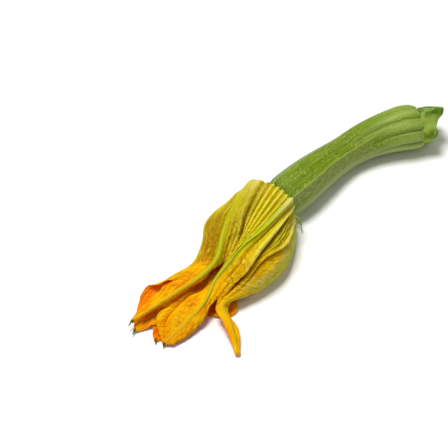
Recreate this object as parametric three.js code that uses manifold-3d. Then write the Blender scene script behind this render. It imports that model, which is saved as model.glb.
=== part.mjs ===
// A young zucchini picked with its flower, lying on a flat surface.
// Millimetres, Z up, the surface at Z = 0. The cut stalk points along +X and the flower's mouth along -X.
// Pieces: fruit, stalk, calyx (disc with five sepals), corolla (five petals grown together) and pistil.

import * as THREE from 'three';
import Module from 'manifold-3d';

const wasm = await Module();
wasm.setup();

// The object's place: its bounding box is centred on the origin in plan
const PLACE = [-5.05, 0.6, 0];

// Fruit: x, y and mean radius of its round, from the flower's end to the stalk's end
const FRUIT_STATIONS = [
  [1.5, 25.4, 11.2],
  [7.5, 26.1, 13.2],
  [20, 27.8, 13.4],
  [34, 30.4, 12.6],
  [48, 32.7, 11.5],
  [62, 34.0, 10.9],
  [76, 33.4, 11.8],
  [89, 30.6, 13.0],
  [101, 26.4, 14.3],
  [108.5, 23.0, 14.4],
  [113.5, 21.0, 13.2],
];
const FRUIT_RIBS = 10;
const RIB_CROWN = THREE.MathUtils.degToRad(36);
const RIB_TWIST = THREE.MathUtils.degToRad(10);
const FACET_DEPTH = [0.02, 0.045, 0.045, 0.045, 0.045, 0.04, 0.03, 0.015, 0.005, 0, 0];
const GROOVE_DEPTH = [0, 0, 0, 0, 0, 0.005, 0.03, 0.08, 0.13, 0.15, 0.15];
const SHALLOW_RIB = THREE.MathUtils.degToRad(-18);
const SHALLOW_RIB_WIDTH = 0.25;
const SHALLOW_RIB_SHARE = 0.75;
const FRUIT_ROWS = 32;
const FRUIT_COLUMNS = 40;
// The fruit touches the surface at three low spots along it, with shallow arches between them
const FIRST_TOUCH = 0.12;
const TOUCH_SPACING = 0.4;
const ARCH_RISE = 0.25;
const TOUCH_FLAT = 0.55;

// Stalk: a short five-lobed stub, cut on the slant
const STALK_GAP = 0.35;
const STALK_LENGTH = 9.5;
const STALK_RADIUS = [12.4, 11.8, 11.4, 11.3, 11.4, 11.6];
const STALK_LOBE_DEPTH = [0.08, 0.12, 0.15, 0.17, 0.18, 0.19];
const STALK_RISE = 0.08;
const STALK_LOBE_CROWN = THREE.MathUtils.degToRad(2);
const STALK_SLANT_UP = 3.7;
const STALK_SLANT_SIDE = -3.2;
const STALK_ROWS = 4;
const STALK_COLUMNS = 30;

// Flower's ring, where the corolla leaves the calyx, measured from the middle of the fruit's flower end
const BLOSSOM_HEIGHT = 13;
const RING_RADIUS = 10.6;
const RING_AHEAD = 3.6;

// Calyx: a disc on the fruit's end with four short sepals and a long one that curls down
const CALYX_RADIUS = 10.2;
const CALYX_BACK = 0.35;
const CALYX_FRONT = 2.6;
const SEPAL_ANGLES = [-14, 158, 228, 286];
const SEPAL_REACH = [18, 16, 16, 18];
const SEPAL_BACK = [0.5, 0, 0, 0.5];
const LONG_SEPAL = [
  [0.9, 16.8, 8.5], [3, 13.8, 8.4], [5, 11, 8.2],
  [5.4, 8.6, 6.6], [4.9, 6.6, 4.6], [3.7, 4.7, 2.6],
];
const SEPAL_WIDTH = 3;
const SEPAL_THICKNESS = 1.1;

// Pistil: a stout style with three stigmas, inside the flower
const PISTIL_GAP = 0.35;
const STYLE_RADIUS = 3.4;
const STYLE_LENGTH = 9;
const STIGMA_LENGTH = 8;
const STIGMA_RADIUS = 3;
const STIGMA_SPREAD = 3.6;

// Corolla: the midrib of each petal, from its shoulder to its tip
const PETAL_RING_ANGLES = [-46, 50, 120, 190, 258];
const MIDRIBS = [
  [
    [-11, 37, 29], [-37, 25, 34], [-53, 14, 33], [-63, 3, 28],
    [-73, 2, 22], [-89, 3, 18], [-105, 6, 12], [-122, 9, 6],
  ],
  [
    [-1, 11, 29], [-29, 1, 33], [-46, 0, 30], [-58.6, -2, 24],
    [-69.4, -3.6, 17], [-82, -9.5, 12], [-98, -12, 7], [-115, -14, 2],
  ],
  [
    [1, 10, 9], [-12, -5, 9], [-27, -15, 9], [-45, -18, 8],
    [-59, -17, 9], [-71, -16, 9], [-77, -31, 6], [-84, -46, 2],
  ],
  [
    [-8, 25, 1], [-23, 18, 1], [-38, 13, 1], [-52, 10, 1],
    [-68, 6, 1], [-85, 1, 1], [-101, -3, 1], [-117, -8, 1],
  ],
  [
    [-12, 41, 14], [-32, 39, 18], [-48, 33, 20], [-58, 23, 19],
    [-70, 16, 15], [-85, 15, 9], [-103, 12, 4], [-123, 5, 2],
  ],
];
// Each seam joins a petal to the next one as far as this, and leaves the round by this much on the way
const SEAM_ENDS = [0.5, 0.7, 0.5, 0.5, 0.6];
const SEAM_FULLNESS = [
  [1, 1.0, 0.92, 0.72, 0.6, 0.6, 0.6, 0.6, 0.6],
  [1, 0.92, 0.97, 0.92, 0.88, 0.9, 1, 1, 1],
  [1, 1.0, 0.95, 0.9, 0.9, 0.9, 0.9, 0.9, 0.9],
  [1, 1.0, 0.95, 0.95, 0.9, 0.9, 0.9, 0.9, 0.9],
  [1, 1.0, 1.0, 1.0, 0.95, 0.9, 0.9, 0.9, 0.9],
];
// Free margins after the seams end: first the margin towards the petal before, then towards the petal after
const MARGINS = [
  [
    [[-80.5, 9, 22], [-90, 10.5, 19], [-99, 11.4, 16], [-109, 12.3, 11], [-122, 9.5, 6.5]],
    [[-66, 4, 17], [-76, 5, 14], [-90, 6, 10], [-106, 8, 7], [-122, 8.4, 5.5]],
  ],
  [
    [
      [-65.4, 2.9, 18], [-70.5, 3.1, 14], [-78.4, 1.5, 13], [-88, 2.3, 13],
      [-99, 3.3, 10], [-109.6, 1, 6], [-115.4, -13.1, 2],
    ],
    [[-82, -13, 8], [-88, -16, 5], [-97, -18, 3], [-108, -17, 2], [-114.6, -14.6, 2]],
  ],
  [
    [[-79, -17, 10], [-80, -25, 8], [-83, -36, 5], [-85.6, -45, 2]],
    [
      [-52, -14.5, 3], [-61, -13.7, 4], [-68.5, -15.1, 4],
      [-72.2, -24, 4.5], [-76.4, -36.7, 4], [-83, -46.2, 2],
    ],
  ],
  [
    [
      [-56.8, -15.5, 1], [-65.3, -19.8, 1.5], [-74, -19.3, 1], [-82, -12, 1],
      [-94.5, -12, 1], [-107, -11, 1], [-117, -9, 1],
    ],
    [[-66, 16, 2], [-80, 15, 2], [-94, 10, 1.5], [-106, 5, 1.5], [-113, 0, 2], [-117, -7, 1]],
  ],
  [
    [[-84, 5, 9], [-96, 4, 5], [-107, 0, 3], [-116, 2, 2], [-123, 4.4, 2]],
    [[-89, 13, 17], [-96, 18, 15], [-103, 20, 12], [-110, 17, 7], [-123, 5.6, 2]],
  ],
];
// How much each free half of a petal arches across, as a part of its width
const ARCHES = [[0.04, 0.15], [0.06, 0.16], [0.2, 0], [0, 0.1], [0.1, 0.15]];
// Pleats between each midrib and the seam after it, and their depth from the ring to the tips
const PLEATS = [4, 2, 3, 3, 3];
const PLEAT_STEEPNESS = 0.32;
const PLEAT_DEPTH = [
  [0.3, 0.9, 1.2, 1.3, 1.0, 0.6, 0.3, 0.2, 0],
  [0.3, 1.2, 2.0, 2.4, 2.0, 1.4, 0.6, 0.2, 0],
  [0.3, 0.9, 1.2, 1.2, 0.8, 0.4, 0.3, 0.2, 0],
  [0.3, 0.5, 0.6, 0.6, 0.6, 0.4, 0.3, 0.2, 0],
  [0.3, 0.9, 1.2, 1.4, 1.2, 0.6, 0.3, 0.2, 0],
];
const MIDRIB_HEIGHT = [0.6, 0.9, 1.0, 1.0, 0.9, 0.8, 0.6, 0.5, 0.3];
const MIDRIB_WIDTH = 1.5;
const MARGIN_WAVE = 1.1;
const MARGIN_WAVES = 7;
const PETAL_THICKNESS = 0.9;
const PETAL_ROWS = 30;
const HALF_COLUMNS = 8;
const LOWEST_PETAL = 0.45;
const LANDING_SOFTNESS = 0.5;
const SMALLEST_DETAIL = 0.02;

const UPWARD = new THREE.Vector3(0, 0, 1);

// A smooth curve through a list of points, or through a list of plain values
function curveThrough(points) {
  const list = points.map((p) => (p.isVector3 ? p : new THREE.Vector3(...p)));
  const curve = new THREE.CatmullRomCurve3(list, false, 'catmullrom', 0.5);
  return (t) => curve.getPoint(Math.min(Math.max(t, 0), 1));
}

function profile(values) {
  const curve = curveThrough(values.map((v) => [v, 0, 0]));
  return (t) => curve(t).x;
}

function smooth(x) {
  return THREE.MathUtils.smoothstep(x, 0, 1);
}

// Direction square to `along` at an angle that starts upwards and turns towards the side
function around(along, angle) {
  const side = new THREE.Vector3().crossVectors(along, UPWARD).normalize();
  return UPWARD.clone().multiplyScalar(Math.cos(angle)).addScaledVector(side, Math.sin(angle));
}

function geometryOf(points, faces) {
  const geometry = new THREE.BufferGeometry();
  geometry.setAttribute('position', new THREE.Float32BufferAttribute(points.flatMap((p) => p.toArray()), 3));
  geometry.setIndex(faces.flat());
  return geometry;
}

function solidOf(geometry) {
  const vertProperties = new Float32Array(geometry.attributes.position.array);
  const triVerts = new Uint32Array(geometry.index.array);
  return new wasm.Manifold(new wasm.Mesh({ numProp: 3, vertProperties, triVerts }));
}

function geometryOfSolid(solid) {
  const mesh = solid.getMesh();
  const geometry = new THREE.BufferGeometry();
  geometry.setAttribute('position', new THREE.Float32BufferAttribute(mesh.vertProperties, 3));
  geometry.setIndex(Array.from(mesh.triVerts));
  return geometry;
}

// Closed body through rings of points, with a middle point at each end, its faces turned outwards
function bodyThroughRings(rings, first, last) {
  const count = rings[0].length;
  const points = [first, ...rings.flat(), last];
  const faces = [];
  for (let j = 0; j < count; j += 1) {
    const next = (j + 1) % count;
    faces.push([0, 1 + j, 1 + next]);
    for (let i = 0; i < rings.length - 1; i += 1) {
      const a = 1 + i * count;
      const b = a + count;
      faces.push([a + j, b + j, b + next], [a + j, b + next, a + next]);
    }
    const end = 1 + (rings.length - 1) * count;
    faces.push([points.length - 1, end + next, end + j]);
  }
  const volume = faces.reduce((sum, [a, b, c]) => sum + points[a].dot(points[b].clone().cross(points[c])), 0);
  return geometryOf(points, volume > 0 ? faces : faces.map(([a, b, c]) => [a, c, b]));
}

// Fruit

const fruitStation = curveThrough(FRUIT_STATIONS);
const facetDepth = profile(FACET_DEPTH);
const grooveDepth = profile(GROOVE_DEPTH);

function fruitDirection(t) {
  const step = 0.001;
  const way = fruitStation(t + step).sub(fruitStation(t - step));
  return way.setZ(0).normalize();
}

// Flat sides between the ribs, and grooves between them that grow deep towards the stalk
function fruitRadius(t, angle) {
  const turned = angle - RIB_CROWN - RIB_TWIST * (1 - t);
  const u = Math.acos(Math.cos(FRUIT_RIBS * turned)) / Math.PI;
  const fromShallow = THREE.MathUtils.euclideanModulo(angle - SHALLOW_RIB + Math.PI, 2 * Math.PI) - Math.PI;
  const shallow = SHALLOW_RIB_SHARE * Math.exp(-((fromShallow / SHALLOW_RIB_WIDTH) ** 2));
  const facet = facetDepth(t);
  const groove = grooveDepth(t) * (1 - shallow);
  return fruitStation(t).z * (1 + 0.67 * facet + 0.25 * groove - facet * (2 * u - u ** 2) - groove * u ** 3);
}

function fruitRing(t, scale, shift) {
  const station = fruitStation(t);
  const along = fruitDirection(t);
  const spokes = [];
  for (let j = 0; j < FRUIT_COLUMNS; j += 1) {
    const angle = (2 * Math.PI * j) / FRUIT_COLUMNS + RIB_CROWN + RIB_TWIST * (1 - t);
    spokes.push(around(along, angle).multiplyScalar(fruitRadius(t, angle)));
  }
  const lift = ARCH_RISE * (1 - Math.cos((2 * Math.PI * (t - FIRST_TOUCH)) / TOUCH_SPACING));
  const height = lift - TOUCH_FLAT - Math.min(...spokes.map((p) => p.z));
  const middle = new THREE.Vector3(station.x, station.y, height).addScaledVector(along, shift);
  const ring = spokes.map((p) => p.multiplyScalar(scale).add(middle));
  return { middle, ring: ring.map((p) => p.setZ(Math.max(p.z, 0))) };
}

function makeFruit() {
  const rings = [fruitRing(0, 0.6, 0), fruitRing(0, 0.93, 0.1)];
  for (let i = 0; i <= FRUIT_ROWS; i += 1) {
    const t = i / FRUIT_ROWS;
    rings.push(fruitRing(t, 1, i === 0 ? 0.9 : 0));
  }
  rings.push(fruitRing(1, 0.94, 1.1), fruitRing(1, 0.7, 1.3));
  const first = rings[0].middle;
  const last = rings[rings.length - 1].middle;
  return bodyThroughRings(rings.map((r) => r.ring), first, last);
}

// Stalk

function makeStalk() {
  const along = fruitDirection(1).setZ(STALK_RISE).normalize();
  const start = fruitRing(1, 1, 1.3 + STALK_GAP).middle;
  const radius = profile(STALK_RADIUS);
  const depth = profile(STALK_LOBE_DEPTH);
  const ringAt = (t, scale) => {
    const ring = [];
    for (let j = 0; j < STALK_COLUMNS; j += 1) {
      const angle = (2 * Math.PI * j) / STALK_COLUMNS;
      const lobe = Math.cos(5 * (angle - STALK_LOBE_CROWN));
      const r = radius(t) * scale * (1 + depth(t) * lobe);
      const slant = STALK_SLANT_UP * Math.cos(angle) + STALK_SLANT_SIDE * Math.sin(angle);
      const reach = t * (STALK_LENGTH + slant * (r / radius(1)));
      ring.push(start.clone().addScaledVector(along, reach).addScaledVector(around(along, angle), r));
    }
    return ring;
  };
  const rings = [ringAt(0, 0.55), ringAt(0, 0.96)];
  for (let i = 0; i <= STALK_ROWS; i += 1) {
    rings.push(ringAt(0.04 + (0.96 * i) / STALK_ROWS, 1));
  }
  rings.push(ringAt(0.99, 0.9), ringAt(0.93, 0.55));
  const last = start.clone().addScaledVector(along, STALK_LENGTH * 0.9);
  return bodyThroughRings(rings, start, last);
}

// Frame of the flower's end: middle of the fruit's end, and the way to the mouth
const blossomBack = fruitDirection(0);
const blossomMiddle = fruitStation(0).setZ(BLOSSOM_HEIGHT);

function atBlossom(ahead, radius, degrees) {
  const out = around(blossomBack, THREE.MathUtils.degToRad(degrees)).multiplyScalar(radius);
  return blossomMiddle.clone().addScaledVector(blossomBack, -ahead).add(out);
}

// Corolla

const ribCurves = MIDRIBS.map((stations, k) => {
  const root = atBlossom(RING_AHEAD, RING_RADIUS, PETAL_RING_ANGLES[k]);
  return curveThrough([root, ...stations.map((p) => new THREE.Vector3(...p))]);
});
const fullness = SEAM_FULLNESS.map(profile);
const pleatDepth = PLEAT_DEPTH.map(profile);
const midribHeight = profile(MIDRIB_HEIGHT);

// Point of the joined part of the flower, between a midrib (across 0) and a seam (across 1)
function joinedPoint(k, sign, s, across) {
  const ribs = ribCurves.map((curve) => curve(s));
  const middle = ribs.reduce((sum, p) => sum.add(p), new THREE.Vector3()).divideScalar(ribs.length);
  const seam = sign > 0 ? k : (k + 4) % 5;
  const own = ribs[k].clone().sub(middle);
  const other = ribs[(k + sign + 5) % 5].clone().sub(middle);
  const ownDirection = own.clone().normalize();
  const seamDirection = ownDirection.clone().add(other.clone().normalize()).normalize();
  const seamLength = (fullness[seam](s) * (own.length() + other.length())) / 2;
  const angle = ownDirection.angleTo(seamDirection);
  const direction = ownDirection.multiplyScalar(Math.sin((1 - across) * angle) / Math.sin(angle));
  direction.addScaledVector(seamDirection, Math.sin(across * angle) / Math.sin(angle));
  const length = THREE.MathUtils.lerp(own.length(), seamLength, smooth(across));
  return middle.addScaledVector(direction, length);
}

// The same for a whole petal: its free halves run from the midrib to their own margins
function petalSurface(k, sign) {
  const end = SEAM_ENDS[sign > 0 ? k : (k + 4) % 5];
  const marginStart = joinedPoint(k, sign, end, 1);
  const points = MARGINS[k][sign > 0 ? 1 : 0].map((p) => new THREE.Vector3(...p));
  const margin = curveThrough([marginStart, ...points]);
  const ribAtEnd = ribCurves[k](end);
  const startChord = marginStart.clone().sub(ribAtEnd);
  const arch = ARCHES[k][sign > 0 ? 1 : 0];
  return (s, across) => {
    if (s <= end) {
      return joinedPoint(k, sign, s, across);
    }
    const t = (s - end) / (1 - end);
    const rib = ribCurves[k](s);
    const chord = margin(t).sub(rib);
    const shrink = chord.length() / startChord.length();
    const round = joinedPoint(k, sign, end, across).sub(ribAtEnd).addScaledVector(startChord, -across);
    const way = ribCurves[k](Math.min(s + 0.01, 1)).sub(ribCurves[k](s - 0.01));
    const outward = way.cross(chord).multiplyScalar(sign).normalize();
    const rise = arch * chord.length() * 4 * across * (1 - across) * smooth(t / 0.5);
    return rib
      .addScaledVector(chord, across)
      .addScaledVector(round, shrink * (1 - smooth(t / 0.6)))
      .addScaledVector(outward, rise);
  };
}

// Height of the relief over the petals: midrib, pleats and waved margins
function relief(k, sign, s, across, distance, width) {
  const seam = sign > 0 ? k : (k + 4) % 5;
  const depth = Math.min(pleatDepth[seam](s), (PLEAT_STEEPNESS * width) / PLEATS[seam]);
  const pleat = depth * Math.sin(Math.PI * PLEATS[seam] * across) ** 2;
  const rib = midribHeight(s) * Math.exp(-((distance / MIDRIB_WIDTH) ** 2));
  const free = smooth((s - SEAM_ENDS[seam]) / 0.15) * across ** 2;
  const wave = MARGIN_WAVE * free * Math.sin(2 * Math.PI * (MARGIN_WAVES * s + 0.3 * k + 0.4 * sign));
  return rib - pleat + wave;
}

function makeCorolla() {
  const points = [];
  const heights = [];
  const grids = [];
  const surfaces = MIDRIBS.map((_, k) => [petalSurface(k, -1), petalSurface(k, 1)]);
  for (let k = 0; k < MIDRIBS.length; k += 1) {
    const grid = [];
    for (let i = 0; i <= PETAL_ROWS; i += 1) {
      const s = i / PETAL_ROWS;
      const rib = ribCurves[k](s);
      const row = [];
      for (let j = -HALF_COLUMNS; j <= HALF_COLUMNS; j += 1) {
        const sign = j < 0 ? -1 : 1;
        const across = Math.abs(j) / HALF_COLUMNS;
        const joined = j === -HALF_COLUMNS && s <= SEAM_ENDS[(k + 4) % 5] + 1e-6;
        if (joined && k > 0) {
          row.push(grids[k - 1][i][2 * HALF_COLUMNS]);
        } else if (j === HALF_COLUMNS && k === MIDRIBS.length - 1 && s <= SEAM_ENDS[k] + 1e-6) {
          row.push(grids[0][i][0]);
        } else {
          const surface = surfaces[k][sign > 0 ? 1 : 0];
          const point = surface(s, across);
          const width = surface(s, 1).distanceTo(rib);
          row.push(points.length);
          points.push(point);
          heights.push(relief(k, sign, s, across, point.distanceTo(rib), width));
        }
      }
      grid.push(row);
    }
    grids.push(grid);
  }

  // Two triangles to a cell, split the same way on both faces of the petals
  const cells = [];
  for (const grid of grids) {
    for (let i = 0; i < PETAL_ROWS; i += 1) {
      for (let j = 0; j < 2 * HALF_COLUMNS; j += 1) {
        const [a, b, c, d] = [grid[i][j], grid[i][j + 1], grid[i + 1][j + 1], grid[i + 1][j]];
        cells.push([a, c, b], [a, d, c]);
      }
    }
  }
  const normalsOf = () => {
    const sheet = geometryOf(points, cells);
    sheet.computeVertexNormals();
    return points.map((_, n) => new THREE.Vector3().fromBufferAttribute(sheet.attributes.normal, n));
  };
  normalsOf().forEach((normal, n) => {
    points[n].addScaledVector(normal, heights[n]);
    const over = (points[n].z - LOWEST_PETAL) / LANDING_SOFTNESS;
    const landed = over > 20 ? over : Math.log1p(Math.exp(over));
    points[n].z = LOWEST_PETAL + LANDING_SOFTNESS * landed;
  });
  const normals = normalsOf();
  const outer = points.map((p, n) => p.clone().addScaledVector(normals[n], PETAL_THICKNESS / 2));
  const inner = points.map((p, n) => p.clone().addScaledVector(normals[n], -PETAL_THICKNESS / 2));

  // Each half petal is a closed solid; halves that share a midrib or a seam share its wall and grow into one
  const halves = [];
  for (const grid of grids) {
    for (const from of [0, HALF_COLUMNS]) {
      halves.push(solidOf(halfPetal(grid, from, outer, inner)));
    }
  }
  // Petals that press on each other close off small pockets, which are filled: only the outer skin is kept
  const grown = solidOf(geometryOfSolid(wasm.Manifold.union(halves).simplify(SMALLEST_DETAIL)));
  const skins = grown.decompose();
  return geometryOfSolid(skins.reduce((best, skin) => (skin.volume() > best.volume() ? skin : best)));
}

function halfPetal(grid, from, outer, inner) {
  const to = from + HALF_COLUMNS;
  const points = [];
  const name = (i, j, face) => 2 * (i * (HALF_COLUMNS + 1) + j - from) + face;
  for (let i = 0; i <= PETAL_ROWS; i += 1) {
    for (let j = from; j <= to; j += 1) {
      points.push(outer[grid[i][j]], inner[grid[i][j]]);
    }
  }
  const faces = [];
  for (let i = 0; i < PETAL_ROWS; i += 1) {
    for (let j = from; j < to; j += 1) {
      for (const face of [0, 1]) {
        const [a, b] = [name(i, j, face), name(i, j + 1, face)];
        const [d, c] = [name(i + 1, j, face), name(i + 1, j + 1, face)];
        faces.push(...(face === 0 ? [[a, c, b], [a, d, c]] : [[a, b, c], [a, c, d]]));
      }
    }
    const wall = (j) => [name(i, j, 0), name(i, j, 1), name(i + 1, j, 1), name(i + 1, j, 0)];
    const [a, b, c, d] = wall(from);
    faces.push([a, b, c], [a, c, d]);
    const [e, f, g, h] = wall(to);
    faces.push([e, g, f], [e, h, g]);
  }
  for (let j = from; j < to; j += 1) {
    const rim = (i) => [name(i, j, 0), name(i, j, 1), name(i, j + 1, 1), name(i, j + 1, 0)];
    const [a, b, c, d] = rim(0);
    faces.push([a, c, b], [a, d, c]);
    const [e, f, g, h] = rim(PETAL_ROWS);
    faces.push([e, f, g], [e, g, h]);
  }
  return geometryOf(points, faces);
}

// Calyx

function ribbonAlong(curve, widthAt, thickness, acrossAt, steps) {
  const rings = [];
  for (let i = 0; i <= steps; i += 1) {
    const t = i / steps;
    const p = curve(t);
    const way = curve(t + 0.01).sub(curve(t - 0.01)).normalize();
    const across = acrossAt(way);
    const flat = new THREE.Vector3().crossVectors(way, across).normalize();
    const ring = [];
    for (let j = 0; j < 6; j += 1) {
      const angle = (2 * Math.PI * j) / 6;
      const point = p.clone().addScaledVector(across, (widthAt(t) / 2) * Math.cos(angle));
      ring.push(point.addScaledVector(flat, (thickness / 2) * Math.sin(angle)));
    }
    rings.push(ring);
  }
  return solidOf(bodyThroughRings(rings, curve(0), curve(1)));
}

function makeCalyx() {
  const pieces = [];
  const rings = [];
  const disc = [
    [CALYX_BACK, 0.6],
    [CALYX_BACK, 0.95],
    [CALYX_BACK + 0.5, 1],
    [CALYX_FRONT - 0.5, 1],
    [CALYX_FRONT, 0.95],
    [CALYX_FRONT, 0.6],
  ];
  for (const [ahead, scale] of disc) {
    const ring = [];
    for (let j = 0; j < 30; j += 1) {
      ring.push(atBlossom(ahead, CALYX_RADIUS * scale, -(360 * j) / 30));
    }
    rings.push(ring);
  }
  pieces.push(solidOf(bodyThroughRings(rings, atBlossom(CALYX_BACK, 0, 0), atBlossom(CALYX_FRONT, 0, 0))));
  const width = (t) => SEPAL_WIDTH * (1 - 0.8 * t ** 1.5);
  SEPAL_ANGLES.forEach((angle, n) => {
    const reach = SEPAL_REACH[n] - CALYX_RADIUS;
    const route = [
      atBlossom(1.3, CALYX_RADIUS - 2, angle),
      atBlossom(0.9 - 0.35 * SEPAL_BACK[n], CALYX_RADIUS + 0.16 * reach, angle),
      atBlossom(0.8 - 1.1 * SEPAL_BACK[n], CALYX_RADIUS + 0.43 * reach, angle),
      atBlossom(0.8 - 1.4 * SEPAL_BACK[n], CALYX_RADIUS + 0.72 * reach, angle + 1),
      atBlossom(1.2 - SEPAL_BACK[n], CALYX_RADIUS + 0.93 * reach, angle + 4),
      atBlossom(3.2 - 0.1 * SEPAL_BACK[n], SEPAL_REACH[n], angle + 8),
    ];
    const curve = curveThrough(route.map((p) => p.setZ(Math.max(p.z, SEPAL_THICKNESS))));
    const out = around(blossomBack, THREE.MathUtils.degToRad(angle));
    const across = new THREE.Vector3().crossVectors(blossomBack, out).normalize();
    pieces.push(ribbonAlong(curve, width, SEPAL_THICKNESS, () => across, 8));
  });
  const longCurve = curveThrough(LONG_SEPAL);
  const longAcross = (way) => {
    const wide = new THREE.Vector3(0.3, -0.5, 1).normalize();
    return wide.addScaledVector(way, -wide.dot(way)).normalize();
  };
  pieces.push(ribbonAlong(longCurve, width, SEPAL_THICKNESS, longAcross, 8));
  return geometryOfSolid(wasm.Manifold.union(pieces));
}

// Pistil

function makePistil() {
  const base = CALYX_FRONT + PISTIL_GAP;
  const stem = [[0, 0.9], [0.6, 1], [0.5 * STYLE_LENGTH, 0.85], [STYLE_LENGTH, 0.9]].map(([ahead, scale]) => {
    const ring = [];
    for (let j = 0; j < 12; j += 1) {
      ring.push(atBlossom(base + ahead, STYLE_RADIUS * scale, (360 * j) / 12));
    }
    return ring;
  });
  const pieces = [solidOf(bodyThroughRings(stem, atBlossom(base, 0, 0), atBlossom(base + STYLE_LENGTH, 0, 0)))];
  const side = around(blossomBack, Math.PI / 2);
  for (let lobe = 0; lobe < 6; lobe += 1) {
    const angle = 120 * (Math.floor(lobe / 2) + (lobe % 2 ? 0.16 : -0.16));
    const place = new THREE.Matrix4().makeBasis(side, UPWARD, blossomBack.clone().negate());
    place.scale(new THREE.Vector3(STIGMA_RADIUS, STIGMA_RADIUS, STIGMA_LENGTH / 2));
    place.setPosition(atBlossom(base + STYLE_LENGTH + 0.3 * STIGMA_LENGTH, STIGMA_SPREAD, angle));
    pieces.push(solidOf(weld(new THREE.SphereGeometry(1, 8, 6).applyMatrix4(place))));
  }
  return geometryOfSolid(wasm.Manifold.union(pieces));
}

// Merges the vertices that a geometry class repeats at its seam and poles
function weld(geometry) {
  const position = geometry.attributes.position;
  const seen = new Map();
  const points = [];
  const names = [];
  for (let n = 0; n < position.count; n += 1) {
    const p = new THREE.Vector3().fromBufferAttribute(position, n);
    const key = p.toArray().map((v) => Math.round(v * 1e4)).join();
    if (!seen.has(key)) {
      seen.set(key, points.length);
      points.push(p);
    }
    names.push(seen.get(key));
  }
  const faces = [];
  for (let n = 0; n < geometry.index.count; n += 3) {
    const face = [0, 1, 2].map((m) => names[geometry.index.getX(n + m)]);
    if (new Set(face).size === 3) {
      faces.push(face);
    }
  }
  return geometryOf(points, faces);
}

// Assembly

const group = new THREE.Group();
const pieces = [
  ['fruit', makeFruit(), 0x8fa13a, 0.5],
  ['stalk', makeStalk(), 0x6f9a3a, 0.6],
  ['calyx', makeCalyx(), 0x9bb34a, 0.6],
  ['corolla', makeCorolla(), 0xf2b417, 0.65],
  ['pistil', makePistil(), 0xe8b440, 0.6],
];
for (const [name, geometry, color, roughness] of pieces) {
  geometry.computeVertexNormals();
  const material = new THREE.MeshStandardMaterial({ color, roughness, metalness: 0 });
  const mesh = new THREE.Mesh(geometry, material);
  mesh.name = name;
  mesh.position.set(...PLACE);
  group.add(mesh);
}

export default group;
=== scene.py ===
"""A young zucchini picked with its flower, lying on a pale floor. Shapes are worked out in millimetres."""

import math

import bpy
import numpy as np
from mathutils import Matrix, Vector


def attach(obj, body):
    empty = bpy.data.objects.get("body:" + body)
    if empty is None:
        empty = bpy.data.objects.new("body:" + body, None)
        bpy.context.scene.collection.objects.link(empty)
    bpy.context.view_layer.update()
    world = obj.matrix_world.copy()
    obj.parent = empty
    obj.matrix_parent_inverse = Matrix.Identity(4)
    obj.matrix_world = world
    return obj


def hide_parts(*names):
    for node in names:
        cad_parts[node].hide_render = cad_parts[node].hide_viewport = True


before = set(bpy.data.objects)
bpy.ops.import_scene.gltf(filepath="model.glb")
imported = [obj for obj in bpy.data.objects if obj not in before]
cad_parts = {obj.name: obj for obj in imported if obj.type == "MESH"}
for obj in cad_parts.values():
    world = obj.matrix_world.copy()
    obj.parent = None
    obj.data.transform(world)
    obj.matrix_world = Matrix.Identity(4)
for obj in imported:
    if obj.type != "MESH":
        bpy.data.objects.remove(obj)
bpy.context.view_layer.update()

# Millimetres in metres, and the move from the drawn places to the middle of the part's box
MM = 0.001
PLACE = np.array([-5.05, 0.6, 0.0])
UPWARD = np.array([0.0, 0.0, 1.0])
FINE = 1.0


# Plain curves and fields

def spline(points, t):
    """Uniform Catmull-Rom curve through the points as t goes from 0 to 1, carried on straight at the ends."""
    p = np.asarray(points, float)
    if p.ndim == 1:
        return spline(p[:, None], t)[..., 0]
    p = np.concatenate([2 * p[:1] - p[1:2], p, 2 * p[-1:] - p[-2:-1]])
    x = np.clip(t, 0, 1) * (len(p) - 3)
    i = np.minimum(x.astype(int), len(p) - 4)
    f = (x - i)[..., None]
    a, b, c, d = p[i], p[i + 1], p[i + 2], p[i + 3]
    return 0.5 * (2 * b + (c - a) * f + (2 * a - 5 * b + 4 * c - d) * f**2 + (3 * b - a - 3 * c + d) * f**3)


def spline_way(points, t, step):
    """Short step along the spline at t, which points the way that it runs."""
    return spline(points, np.minimum(t + step, 1)) - spline(points, np.maximum(t - step, 0))


def smooth(x):
    """0 below 0, 1 above 1, and 3x^2 - 2x^3 between them."""
    x = np.clip(x, 0, 1)
    return x * x * (3 - 2 * x)


def length(v):
    """Length of the vectors in the last axis, kept as an axis of one."""
    return np.linalg.norm(v, axis=-1, keepdims=True)


def unit(v):
    """The vectors divided by their length."""
    return v / np.maximum(length(v), 1e-9)


def even_angles(number):
    """Angles of even steps round a circle."""
    return 2 * np.pi * np.arange(number) / number


def ripple(seed, waves, *fields):
    """Sum of six sines of the fields, with random slopes up to `waves` turns and random phases, over 3."""
    draw = np.random.default_rng(seed)
    total = 0.0
    for _ in range(6):
        slopes = draw.uniform(-1, 1, len(fields)) * waves
        total = total + np.sin(2 * np.pi * (sum(a * f for a, f in zip(slopes, fields)) + draw.uniform()))
    return total / 3


def around(along, angle):
    """Direction square to `along`: upwards at angle 0, turning towards the cross product of it and up."""
    side = unit(np.cross(along, UPWARD))
    return np.cos(angle)[..., None] * UPWARD + np.sin(angle)[..., None] * side


# Meshes

def grid_faces(ids, wrap=False):
    """Quads between neighbouring rows and columns of an array of vertex numbers. Wrap also joins the last
    column to the first."""
    if wrap:
        ids = np.concatenate([ids, ids[:, :1]], 1)
    return np.stack([ids[:-1, :-1], ids[1:, :-1], ids[1:, 1:], ids[:-1, 1:]], -1).reshape(-1, 4)


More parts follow.
